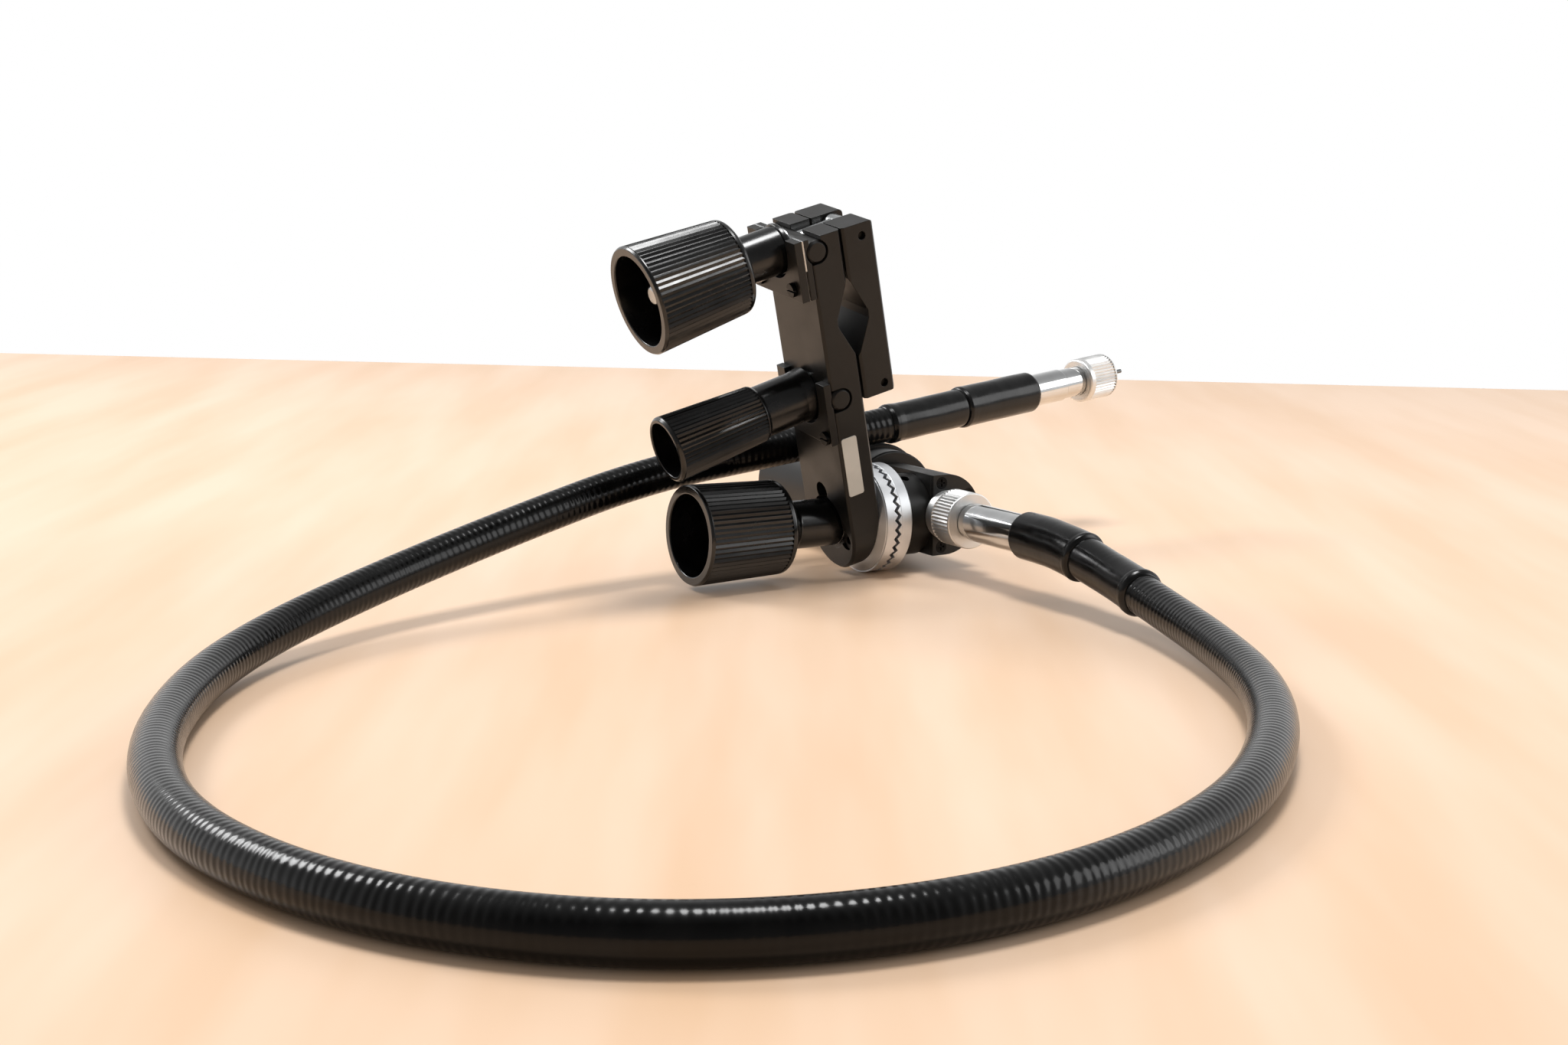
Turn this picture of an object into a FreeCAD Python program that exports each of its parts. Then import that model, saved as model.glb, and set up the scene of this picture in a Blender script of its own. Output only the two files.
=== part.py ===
"""Flexible drive cable with its pan-bar clamp module, in millimetres, +Z up.

Axes while modelling: X runs along the tilt axis from the clamp knobs to the gear housing, Y runs along the
drive axis away from the cable's near end, and Z = 0 is the surface that the object lies on.
"""
import FreeCAD, Part
import math
import os

from FreeCAD import Matrix, Placement, Rotation, Vector

# Place of the origin: middle of the footprint of everything but the cord
box_centre_x = -21.595
box_centre_y = 24.5

# Clearances
running_fit = 0.05
face_gap = 0.05
slot_gap = 0.2
cut_spill = 1.0
touching = 1e-6

# Tilt axis and toothed rosettes
rosette_radius = 16.5
tilt_axis_height = rosette_radius
tooth_count = 36
tooth_height = 1.2
tooth_inner_radius = 11.3
tooth_root_depth = 0.8
tooth_tip_gap = 0.06
tooth_ring_inset = 0.05
fixed_rosette_back_x = -0.55
fixed_rosette_thickness = 3.8
moving_rosette_thickness = 4.6
rosette_pocket_radius = 10.8
rosette_pocket_depth = 1.65
rosette_edge_chamfer = 0.5
rosette_lip_radius = 13.15
rosette_lip_height = 1.1
rosette_groove_depth = 0.5
rosette_groove_width = 0.3
fixed_tooth_x = fixed_rosette_back_x + fixed_rosette_thickness
moving_tooth_x = fixed_tooth_x + tooth_height + tooth_tip_gap
moving_back_x = moving_tooth_x + moving_rosette_thickness
lock_travel = tooth_height

# Hub between the moving rosette and the housing
hub_radius = 12.6
hub_length = 9.6
hub_end_x = moving_back_x + hub_length
hub_chamfer = 0.6
set_screw_radius = 1.5
set_screw_length = 6.0
set_screw_angle = 20.0
set_screw_hex_radius = 0.75
set_screw_hex_depth = 1.4
set_screw_floor_gap = 0.2

# Tilt bolt and the sleeve that the bar turns on
tilt_bolt_radius = 3.0
tilt_bolt_head_radius = 5.0
tilt_bolt_head_height = 4.0
tilt_bolt_end_x = -38.5
sleeve_radius = 5.0
sleeve_end_gap = 0.1
spring_wall = 0.8
spring_side_gap = 0.6
spring_lead_gap = 0.1

# Clamp bar, in its own frame: x through its thickness, y across it, z up its length
bar_lean = 14.8
bar_roll = 8.57
bar_width = 27.0
bar_thickness = 10.5
bar_top = 93.9
axis_in_bar_x = 10.19
axis_in_bar_z = -1.06
bar_edge_chamfer = 0.7
boss_radius = 11.3
seat_clear_radius = 17.2
lock_seat_x = -8.4
lock_seat_radius = 8.2
bolt_slot_width = 6.9
upper_slot_drop = 5.2
middle_slot_drop = 5.14
middle_slot_rise = 5.46

# Rosette screws in the bar's foot
rosette_screw_circle = 9.4
rosette_screw_radius = 1.5
rosette_screw_head_radius = 2.75
rosette_screw_head_height = 3.0
rosette_screw_head_x = -5.3
rosette_screw_hex_radius = 1.2375
rosette_screw_hex_depth = 1.8
rosette_screw_angles = (90, 210, 330)

# V notches that hold the pan bar
notch_height = 67.0
notch_half_width = 11.7
bar_notch_depth = 4.9
jaw_notch_depth = 4.9
notch_flat = 1.2

# Clamp jaw
jaw_gap = 0.62
jaw_thickness = 10.4
jaw_drop = 2.34
jaw_corner_radius = 1.3
jaw_slot_width = 6.4
jaw_slot_depth = 8.7
jaw_slot_extra = 1.3
hinge_pin_radius = 1.25
hinge_pin_recess = 1.2

# Barrels in the bar's cross grooves and the swing bolts
barrel_radius = 3.45
barrel_end_chamfer = 0.8
upper_barrel_x = 2.4
middle_barrel_x = 3.2
upper_barrel_z = 89.5
barrel_spacing = 45.36
middle_barrel_z = upper_barrel_z - barrel_spacing
upper_barrel_place = (upper_barrel_x, upper_barrel_z)
middle_barrel_place = (middle_barrel_x, middle_barrel_z)
hook_reach = 1.6
barrel_flat = 3.1
barrel_flat_half = 7.4
bolt_droop = 2.5
swing_bolt_radius = 3.0
eye_distance = 14.9
eye_radius = 3.4
washer_radius = 6.0
washer_thickness = 0.8
washer_pocket_gap = 0.45
knob_start = barrel_flat + washer_thickness + face_gap
upper_bolt_length = 46.8
bolt_end_round = 1.2
middle_bolt_length = 34.8

# Clamp knobs, heights measured from the barrel axis out along the bolt
insert_radius = 5.0
knob_hole_radius = swing_bolt_radius + 0.3
upper_knob_length = 51.2
upper_knob_radius = 15.8
upper_knob_foot_radius = 13.9
upper_knob_bore_radius = 13.1
upper_knob_floor = 28.0
upper_neck_radius = 7.0
upper_shoulder_start = 18.5
upper_shoulder_end = 20.9
upper_flutes = 60
upper_shoulder_round = 1.3
upper_neck_round = 0.8
neck_ring_start = 0.4
neck_ring_width = 1.4
neck_ring_height = 0.5
neck_ring_round = 0.3
middle_knob_length = 51.9
middle_knob_radius = 9.9
middle_knob_foot_radius = 8.5
middle_knob_bore_radius = 8.2
middle_knob_floor = 40.0
middle_neck_radius = 7.7
middle_neck_end = 21.1
middle_flutes = 44
middle_foot_flare = 0.5
middle_foot_length = 4.0
middle_step = 0.6
middle_step_lead = 0.5
middle_small_round = 0.3
middle_rim = 0.9
middle_rim_taper = 0.7
middle_floor_round = 1.2
insert_start = 8.0
flute_depth = 0.45
flute_start = 1.4
flute_margin = 0.3
flute_ridge = 0.02
edge_round = 0.4
rim_round = 0.3
neck_round = 1.5
floor_round = 1.5
shoulder_round = 2.0
knob_rim = 0.7
knob_rim_taper = 0.4

# Tilt lock knob, heights measured from the disc centre out along the tilt axis
lock_washer_radius = 7.2
lock_washer_thickness = 1.0
lock_knob_length = 58.6
lock_knob_radius = 14.9
lock_knob_foot_radius = 14.1
lock_knob_bore_radius = 12.2
lock_knob_floor = 42.0
lock_floor_wall = 1.8
lock_neck_radius = 7.25
lock_shoulder_start = 24.5
lock_shoulder_end = 29.6
lock_flutes = 60
lock_insert_start = 14.0
lock_bolt_gap = 0.3
lock_shoulder_rise = 2.2
lock_shoulder_step = 2.0
lock_shoulder_round = 1.3
lock_step_round = 1.0

# Guard plates round the knob necks
guard_thickness = 2.2
guard_outer_thickness = 2.4
upper_guard_drop = 13.3
upper_guard_notch = 8.3
middle_guard_drop = 13.14
middle_guard_rise = 5.86
middle_guard_notch = 9.0
guard_tab_width = 2.2
guard_tab_drop = 3.14
guard_tab_rise = 2.86
leaf_thickness = 0.5
leaf_drop = 4.5
leaf_setback = 0.5
guard_screw_radius = 1.25
guard_screw_head_radius = 2.1
guard_screw_head_height = 1.3
guard_screw_depth = 5.0
guard_screw_slot_half = 0.3
upper_guard_screw = (9.2, upper_barrel_z - 10.0)
middle_guard_screw = (10.9, middle_barrel_z - 10.94)
barrel_relief = 0.25

# Number label on the near side of the bar
label_x = 0.9
label_width = 5.1
label_corner_radius = 0.7
label_bottom = 13.6
label_height = 18.5
label_thickness = 0.25

# Drive axis and gear housing
drive_x = 23.5
grip_ring_radius = 17.4
grip_ground_gap = 0.1
drive_z = grip_ring_radius + grip_ground_gap
housing_radius = 12.4
housing_near_y = -11.4
housing_far_y = 12.5
cover_thickness = 1.5
housing_bore_radius = 4.3
cover_bore_radius = 3.6
cover_screw_circle = 10.0
cover_screw_radius = 1.25
cover_screw_head_radius = 1.95
cover_screw_head_height = 0.9
cover_screw_depth = 6.0
cross_half_length = 1.2
cross_half_width = 0.25
cross_depth = 0.45
cover_screw_angles = (35, 100, 260, 325)

# Shaft, bushes and hand grip
shaft_radius = 2.8
bush_length = 6.5
circlip_radius = 4.1
circlip_thickness = 0.8
socket_radius = 1.35
socket_depth = 10.0
grip_ring_gap = 0.6
grip_rosette_gap = 0.5
grip_collar_radius = 6.5
grip_ring_length = 5.6
grip_drum_radius = 16.6
grip_drum_length = 43.6
grip_front_radius = 15.9
grip_front_length = 8.0
grip_wall = 2.6
grip_hub_radius = 7.5
grip_ring_flutes = 90
grip_ring_flute_depth = 0.4
grip_cap_thickness = 3.0
grip_screw_radius = 1.5
grip_screw_length = 12.0
grip_screw_head_radius = 3.6
grip_screw_head_height = 2.2
grip_screw_hex_radius = 1.2
grip_screw_hex_floor = 0.88
grip_ring_lead = 0.6
grip_ring_edge = 0.4
grip_drum_round = 1.2
grip_inner_round = 0.8

# Near coupling, lengths measured from the housing's near face
port_flange_radius = 7.5
port_flange_length = 3.2
port_nose_radius = 4.7
port_nose_end = 9.8
port_bore_radius = 2.0
near_nut_start = 3.6
near_nut_end = 13.5
near_nut_radius = 8.5
near_nut_flutes = 48
nut_flute_depth = 0.45
nut_flute_margin = 0.75
nut_front_round = 0.4
ferrule_flange_radius = 4.6
ferrule_flange_length = 1.5
ferrule_neck_radius = 4.2
ferrule_collar_radius = 5.2
ferrule_collar_gap = 0.3
near_ferrule_start = 15.8
near_ferrule_end = 41.0
near_ferrule_radius = 5.75
drive_tip_radius = 1.25
drive_tip_reach = 1.2
drive_tip_tail = 17.0

# Cord: sheath radius, and its sleeves as lengths along it
sheath_radius = 5.5
near_sleeve_large_radius = 7.0
near_sleeve_large_length = 28.0
near_sleeve_small_radius = 6.1
near_sleeve_small_length = 29.0
far_sleeve_large_radius = 6.6
far_sleeve_large_length = 31.0
far_sleeve_small_radius = 6.0
far_sleeve_small_length = 30.0

# Far coupling, lengths measured from the sheath's far end
far_ferrule_radius = 5.3
far_ferrule_length = 13.7
far_collar_radius = 4.9
far_collar_length = 8.1
far_neck_radius = 4.4
far_nut_gap = 0.4
far_nut_length = 12.6
far_nut_smooth_length = 2.2
far_nut_radius = 7.25
far_nut_bore_radius = 5.5
far_nut_wall = 3.4
far_nut_flutes = 44
far_tip_radius = 0.65
far_tip_body_radius = 1.9
far_tip_nose_length = 13.3
far_tip_reach = 8.3
far_tip_tail = 3.0

near_face_y = housing_near_y - cover_thickness

# Route of the sheath from the near ferrule round the loop to the far ferrule
cord_route = [
    (drive_x, near_face_y - near_ferrule_end, drive_z),
    (drive_x, -70.0, drive_z),
    (23.0, -95.0, 12.6),
    (18.3, -121.0, 8.9),
    (8.5, -152.0, 7.0),
    (-9.5, -190.0, 6.3),
    (-37.0, -223.5, 5.7),
    (-75.0, -254.0, 5.6),
    (-120.0, -272.5, 5.6),
    (-166.0, -273.5, 5.6),
    (-208.0, -256.0, 5.6),
    (-239.0, -219.0, 5.6),
    (-252.5, -168.0, 5.6),
    (-245.6, -115.0, 5.6),
    (-223.0, -63.0, 5.6),
    (-194.0, -27.5, 7.7),
    (-155.0, -5.0, 13.7),
    (-112.0, 8.0, 22.4),
    (-63.0, 18.0, 32.4),
    (-20.0, 18.6, 36.9),
    (20.0, 19.0, 41.4),
    (52.0, 21.4, 45.0),
    (82.0, 24.8, 48.0),
]
arc_share = 0.45

os.makedirs("parts", exist_ok=True)


def frame(origin, ex, ey, ez):
    """Placement whose local axes lie along the three given unit vectors."""
    return Placement(Matrix(ex.x, ey.x, ez.x, origin.x,
                            ex.y, ey.y, ez.y, origin.y,
                            ex.z, ey.z, ez.z, origin.z,
                            0, 0, 0, 1))


def placed(shape, placement):
    """Copy of a shape, moved by a placement."""
    moved = shape.copy()
    moved.Placement = placement.multiply(moved.Placement)
    return moved


def corner(before, at, after, radius):
    """Start, middle and end of the arc that rounds one corner."""
    to_before = (before - at).normalize()
    to_after = (after - at).normalize()
    half = to_before.getAngle(to_after) / 2
    reach = radius / math.tan(half)
    bisector = (to_before + to_after).normalize()
    middle = at + bisector * (radius / math.sin(half) - radius)
    return at + to_before * reach, middle, at + to_after * reach


def closed_wire(corners):
    """Closed wire through (point, rounding radius) corners."""
    points = [point for point, radius in corners]
    count = len(points)
    edges = []
    starts = []
    ends = []
    for i, (point, radius) in enumerate(corners):
        if radius:
            start, middle, end = corner(points[i - 1], point, points[(i + 1) % count], radius)
            edges.append(Part.Arc(start, middle, end).toShape())
        else:
            start = point
            end = point
        starts.append(start)
        ends.append(end)
    for i in range(count):
        after = starts[(i + 1) % count]
        if ends[i].distanceToPoint(after) > touching:
            edges.append(Part.LineSegment(ends[i], after).toShape())
    return Part.Wire(Part.sortEdges(edges)[0])


def turned(profile):
    """Solid of revolution about local Z from (radius, height, rounding) corners."""
    wire = closed_wire([(Vector(r, 0, h), rounding) for r, h, rounding in profile])
    return Part.Face(wire).revolve(Vector(0, 0, 0), Vector(0, 0, 1), 360)


def tube(inner, outer, low, high):
    """Ring about local Z, or a plain cylinder where the inner radius is 0."""
    body = Part.makeCylinder(outer, high - low, Vector(0, 0, low))
    if inner > 0:
        body = body.cut(Part.makeCylinder(inner, high - low, Vector(0, 0, low)))
    return body


def rod(radius, length, start, direction):
    return Part.makeCylinder(radius, length, start, direction)


def block(x0, x1, y0, y1, z0, z1):
    return Part.makeBox(x1 - x0, y1 - y0, z1 - z0, Vector(x0, y0, z0))


def prism_y(outline, half_width):
    """Polygon of (x, z) points, extruded across the bar."""
    points = [Vector(x, -half_width, z) for x, z in outline + outline[:1]]
    return Part.Face(Part.makePolygon(points)).extrude(Vector(0, 2 * half_width, 0))


def star_wire(radius, depth, count, height):
    """Closed polygon with one ridge and one groove per flute."""
    points = []
    for i in range(2 * count + 1):
        angle = math.pi * i / count
        reach = radius if i % 2 == 0 else radius - depth
        points.append(Vector(reach * math.cos(angle), reach * math.sin(angle), height))
    return Part.makePolygon(points)


def along(low, high, height):
    """Radius at a height of the cone through two (radius, height) places."""
    share = (height - low[1]) / (high[1] - low[1])
    return low[0] + (high[0] - low[0]) * share


def fluted(body, low, high, low_radius, high_radius, depth, count):
    """Cut straight flutes into a turned body between two heights."""
    star = Part.makeLoft([star_wire(low_radius + flute_ridge, depth, count, low),
                          star_wire(high_radius + flute_ridge, depth, count, high)], True, True)
    collar = tube(0, max(low_radius, high_radius) + cut_spill, low, high).cut(star)
    return body.cut(collar)


def save(node, shape):
    """Write one node, moved so that the origin is under the middle of the object."""
    home = Placement(Vector(-box_centre_x, -box_centre_y, 0), Rotation())
    placed(shape, home).exportStep("parts/" + node + ".step")
    built[node] = placed(shape, home)


built = {}

# Frames of the tilt axis, the bar and the two swing bolts
x_axis = Vector(1, 0, 0)
y_axis = Vector(0, 1, 0)
z_axis = Vector(0, 0, 1)
tilt_centre = Vector(0, 0, tilt_axis_height)
along_tilt = frame(tilt_centre, Vector(0, 0, -1), y_axis, x_axis)
against_tilt = frame(tilt_centre, z_axis, y_axis, Vector(-1, 0, 0))

roll = math.radians(bar_roll)
lean = math.radians(bar_lean)
leaned_up = z_axis * math.cos(roll) - y_axis * math.sin(roll)
bar_y = y_axis * math.cos(roll) + z_axis * math.sin(roll)
bar_x = x_axis * math.cos(lean) + leaned_up * math.sin(lean)
bar_z = leaned_up * math.cos(lean) - x_axis * math.sin(lean)
bar_origin = tilt_centre - bar_x * axis_in_bar_x - bar_z * axis_in_bar_z
bar_frame = frame(bar_origin, bar_x, bar_y, bar_z)

droop = math.radians(bolt_droop)
outward = Vector(-math.cos(droop), 0, -math.sin(droop))
bolt_up = y_axis.cross(outward)


def bolt_home(barrel):
    """Frame of a swing bolt in the bar's own axes."""
    return frame(Vector(barrel[0], 0, barrel[1]), bolt_up, y_axis, outward)


upper_frame = bar_frame.multiply(bolt_home(upper_barrel_place))
middle_frame = bar_frame.multiply(bolt_home(middle_barrel_place))
upper_eye = Vector(upper_barrel_x, 0, upper_barrel_z) - outward * eye_distance
lower_eye = Vector(middle_barrel_x, 0, middle_barrel_z) - outward * eye_distance
jaw_bottom = middle_barrel_z - jaw_drop


def toothed_ring():
    """Ring of radial teeth whose lines meet on the axis; the pitch plane is at height 0."""
    outer_radius = rosette_radius - tooth_ring_inset
    rings = []
    for radius in (outer_radius, tooth_inner_radius):
        ring = []
        for i in range(2 * tooth_count):
            angle = math.pi * i / tooth_count
            level = tooth_height / 2 * radius / outer_radius * (1 if i % 2 == 0 else -1)
            ring.append(Vector(radius * math.cos(angle), radius * math.sin(angle), level))
        rings.append(ring)
    outer, inner = rings
    floor = -tooth_root_depth
    faces = []
    for i in range(2 * tooth_count):
        j = (i + 1) % (2 * tooth_count)
        faces.append(quad(outer[i], outer[j], inner[j], inner[i]))
        for ring in rings:
            faces.append(quad(ring[i], ring[j], at_height(ring[j], floor), at_height(ring[i], floor)))
    rims = [Part.Face(Part.makePolygon([at_height(p, floor) for p in ring + ring[:1]])) for ring in rings]
    faces.append(rims[0].cut(rims[1]).Faces[0])
    shell = Part.Shell(faces)
    shell.sewShape()
    return Part.Solid(shell)


def quad(a, b, c, d):
    return Part.Face(Part.makePolygon([a, b, c, d, a]))


def at_height(point, height):
    return Vector(point.x, point.y, height)


def plain_back(thickness):
    return [(rosette_radius - rosette_edge_chamfer, -thickness, 0),
            (rosette_radius, -thickness + rosette_edge_chamfer, 0)]


def lipped_back(thickness):
    """Back with a coned lip round the bar's foot, and a narrow groove between the cone and the rim."""
    cone_radius = rosette_radius - rosette_groove_depth
    return [(rosette_lip_radius, -thickness, 0), (rosette_lip_radius, -thickness - rosette_lip_height, 0),
            (cone_radius, -thickness + rosette_groove_width, 0),
            (cone_radius, -thickness + 2 * rosette_groove_width, 0),
            (rosette_radius, -thickness + 2 * rosette_groove_width, 0)]


def rosette(thickness, bore_radius, back):
    """Disc with teeth up, pitch plane at height 0 and a pocket for the spring."""
    base_top = -tooth_root_depth + tooth_ring_inset
    profile = [(bore_radius, -thickness, 0)] + back(thickness) + [
        (rosette_radius, base_top, 0), (bore_radius, base_top, 0)]
    disc = turned(profile).fuse(toothed_ring())
    pocket = tube(0, rosette_pocket_radius, -rosette_pocket_depth, tooth_height)
    return disc.cut(pocket).removeSplitter()


def rosette_screw_places():
    for angle in rosette_screw_angles:
        turn = math.radians(angle)
        yield Vector(0, rosette_screw_circle * math.cos(turn), tilt_axis_height
                     + rosette_screw_circle * math.sin(turn))


def make_rosettes():
    fixed = placed(rosette(fixed_rosette_thickness, sleeve_radius + running_fit, lipped_back),
                   frame(tilt_centre + x_axis * fixed_tooth_x, Vector(0, 0, -1), y_axis, x_axis))
    for place in rosette_screw_places():
        start = place - x_axis * rosette_radius
        fixed = fixed.cut(rod(rosette_screw_radius, 2 * rosette_radius, start, x_axis))
    save("fixed_rosette", fixed)
    # One tooth pitch is shared by both discs, and the second is turned by half of it so that they mesh
    half_pitch = Placement(Vector(), Rotation(z_axis, 180.0 / tooth_count))
    moving = placed(rosette(moving_rosette_thickness, tilt_bolt_radius + running_fit, plain_back), half_pitch)
    moving = placed(moving, frame(tilt_centre + x_axis * moving_tooth_x, z_axis, y_axis, Vector(-1, 0, 0)))
    save("moving_rosette", moving)


def make_spring():
    """Two coned washers back to back that part the rosettes."""
    floor = moving_tooth_x + rosette_pocket_depth
    near = fixed_tooth_x - rosette_pocket_depth + lock_travel + spring_lead_gap
    middle = (near + floor) / 2
    inner = sleeve_radius + spring_side_gap
    outer = rosette_pocket_radius - spring_side_gap
    profile = [(inner, near, 0), (inner + spring_wall, near, 0), (outer, middle - spring_wall / 2, 0),
               (outer, middle + spring_wall / 2, 0), (inner + spring_wall, floor, 0), (inner, floor, 0),
               (outer - 2 * spring_wall, middle, 0)]
    save("rosette_spring", placed(turned(profile), along_tilt))


def make_hub():
    hub = turned([(tilt_bolt_radius + running_fit, moving_back_x, 0),
                  (hub_radius - hub_chamfer, moving_back_x, 0),
                  (hub_radius, moving_back_x + hub_chamfer, 0), (hub_radius, hub_end_x, 0),
                  (tilt_bolt_radius + running_fit, hub_end_x, 0)])
    head_low = hub_end_x - tilt_bolt_head_height - face_gap
    hub = hub.cut(tube(0, tilt_bolt_head_radius + slot_gap, head_low, hub_end_x))
    hub = placed(hub, along_tilt)
    turn = math.radians(set_screw_angle)
    direction = Vector(0, -math.sin(turn), math.cos(turn))
    middle = tilt_centre + x_axis * (moving_back_x + hub_length / 2)
    hole_depth = hub_radius - tilt_bolt_head_radius - slot_gap - set_screw_floor_gap
    mouth = middle + direction * (hub_radius - hole_depth)
    hub = hub.cut(rod(set_screw_radius, 2 * hole_depth, mouth, direction))
    save("rosette_hub", hub)
    screw = rod(set_screw_radius, set_screw_length, mouth, direction)
    top = mouth + direction * (set_screw_length - set_screw_hex_depth)
    screw = screw.cut(rod(set_screw_hex_radius, set_screw_hex_depth, top, direction))
    save("hub_set_screw", screw)


def make_tilt_bolt():
    head_low = hub_end_x - tilt_bolt_head_height
    shank = tube(0, tilt_bolt_radius, tilt_bolt_end_x, head_low)
    head = star_wire(tilt_bolt_head_radius, 0.0, 3, head_low)
    bolt = shank.fuse(Part.Face(head).extrude(Vector(0, 0, tilt_bolt_head_height)))
    save("tilt_bolt", placed(bolt, along_tilt))
    sleeve = tube(tilt_bolt_radius + running_fit, sleeve_radius, lock_seat_x + sleeve_end_gap,
                  fixed_tooth_x - rosette_pocket_depth - sleeve_end_gap)
    save("tilt_sleeve", placed(sleeve, along_tilt))


def notch(face_x, depth, toward):
    """V groove across the bar, open at face_x, pointing along toward (1 or -1)."""
    slope = notch_half_width / depth
    outline = [(face_x - toward * cut_spill, notch_height + notch_half_width + cut_spill * slope),
               (face_x + toward * depth, notch_height + notch_flat),
               (face_x + toward * depth, notch_height - notch_flat),
               (face_x - toward * cut_spill, notch_height - notch_half_width - cut_spill * slope)]
    return prism_y(outline, bar_width)


def barrel_groove(barrel, clearance):
    """Cross groove for a barrel, open towards the knobs."""
    x, height = barrel
    radius = barrel_radius + clearance
    groove = rod(radius, 2 * bar_width, Vector(x, -bar_width, height), y_axis)
    mouth = block(x - bar_thickness, x, -bar_width, bar_width, height - radius, height + radius)
    return groove.fuse(mouth)


def bevelled(body, x0, x1):
    """Bevel the long straight edges of a bar-shaped body."""
    half = bar_width / 2
    chosen = []
    for edge in body.Edges:
        box = edge.BoundBox
        on_side = abs(abs(box.YMin) - half) < touching and abs(box.YMax - box.YMin) < touching
        to_face = min(abs(box.XMin - x0), abs(box.XMin - x1))
        on_face = abs(box.XMax - box.XMin) < touching and to_face < touching
        if on_side and on_face and box.ZMax - box.ZMin > 4 * bar_edge_chamfer:
            chosen.append(edge)
    return body.makeChamfer(bar_edge_chamfer, chosen)


def make_clamp_bar():
    half = bar_width / 2
    body = block(0, bar_thickness, -half, half, 0, bar_top)
    body = body.fuse(rod(half, bar_thickness, Vector(), x_axis)).removeSplitter()
    body = body.cut(notch(bar_thickness, bar_notch_depth, -1))
    body = bevelled(body, 0, bar_thickness)
    for barrel in (upper_barrel_place, middle_barrel_place):
        body = body.cut(barrel_groove(barrel, running_fit))
    pocket = tube(0, washer_radius + washer_pocket_gap, barrel_flat - washer_pocket_gap, bar_thickness)
    body = body.cut(placed(pocket, bolt_home(middle_barrel_place)))
    # Above the upper barrel only a hook stays, on the jaw's side
    body = body.cut(block(-cut_spill, upper_barrel_x + hook_reach, -bar_width, bar_width, upper_barrel_z,
                          bar_top + cut_spill))
    slot = bolt_slot_width / 2
    body = body.cut(block(-cut_spill, bar_thickness + cut_spill, -slot, slot,
                          upper_barrel_z - upper_slot_drop, bar_top + cut_spill))
    body = body.cut(block(-cut_spill, bar_thickness + cut_spill, -slot, slot,
                          middle_barrel_z - middle_slot_drop, middle_barrel_z + middle_slot_rise))
    for across, height in guard_screw_places():
        hole = rod(guard_screw_radius, guard_screw_depth, Vector(0, across, height), x_axis)
        body = body.cut(hole)
    body = placed(body, bar_frame)
    # Inclined seat for the rosette, square to the tilt axis
    boss = tube(0, boss_radius, lock_seat_x + lock_washer_thickness, fixed_rosette_back_x)
    body = body.fuse(placed(boss, along_tilt))
    clear = tube(0, seat_clear_radius, fixed_rosette_back_x, fixed_rosette_back_x + bar_thickness)
    body = body.cut(placed(clear, along_tilt))
    lip = tube(rosette_lip_radius, seat_clear_radius, fixed_rosette_back_x - rosette_lip_height,
               fixed_rosette_back_x + bar_thickness)
    body = body.cut(placed(lip, along_tilt))
    spot = tube(0, lock_seat_radius, lock_seat_x - bar_thickness, lock_seat_x)
    bore = tube(0, sleeve_radius + running_fit, lock_seat_x - cut_spill,
                fixed_rosette_back_x + cut_spill)
    body = body.cut(placed(spot.fuse(bore), along_tilt))
    for place in rosette_screw_places():
        head_end = place + x_axis * rosette_screw_head_x
        body = body.cut(rod(rosette_screw_head_radius + slot_gap, bar_thickness, head_end, x_axis * -1))
        body = body.cut(rod(rosette_screw_radius + running_fit, bar_thickness, head_end, x_axis))
    save("clamp_bar", body.removeSplitter())


def make_rosette_screws():
    screws = []
    for place in rosette_screw_places():
        under_head = place + x_axis * rosette_screw_head_x
        shank_end = fixed_tooth_x - rosette_pocket_depth - face_gap
        screw = rod(rosette_screw_radius, shank_end - rosette_screw_head_x, under_head, x_axis)
        screw = screw.fuse(rod(rosette_screw_head_radius, rosette_screw_head_height, under_head, x_axis * -1))
        hex_mouth = under_head - x_axis * rosette_screw_head_height
        screw = screw.cut(rod(rosette_screw_hex_radius, rosette_screw_hex_depth, hex_mouth, x_axis))
        screws.append(screw)
    save("rosette_screws", Part.makeCompound(screws))
    washer = tube(tilt_bolt_radius + running_fit, lock_washer_radius, -lock_seat_x,
                  -lock_seat_x + lock_washer_thickness)
    save("lock_washer", placed(washer, against_tilt))


def guard_screw_places():
    for side in (-1, 1):
        yield side * upper_guard_screw[0], upper_guard_screw[1]
        yield side * middle_guard_screw[0], middle_guard_screw[1]


def guard_plate(x0, x1, low, high, notch_radius, barrel, screw):
    """Plate on the knob side of the bar with an open notch round a knob's neck."""
    half = bar_width / 2
    barrel_x, barrel_z = barrel
    plate = block(x0, x1, -half, half, low, high)
    plate = plate.cut(rod(notch_radius, x1 - x0, Vector(x0, 0, barrel_z), x_axis))
    plate = plate.cut(block(x0, x1, -notch_radius, notch_radius, barrel_z, barrel_z + bar_top))
    plate = plate.cut(rod(barrel_radius + barrel_relief, 2 * bar_width,
                          Vector(barrel_x, -bar_width, barrel_z), y_axis))
    for side in (-1, 1):
        plate = plate.cut(rod(guard_screw_radius, x1 - x0, Vector(x0, side * screw[0], screw[1]), x_axis))
    return plate


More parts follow.
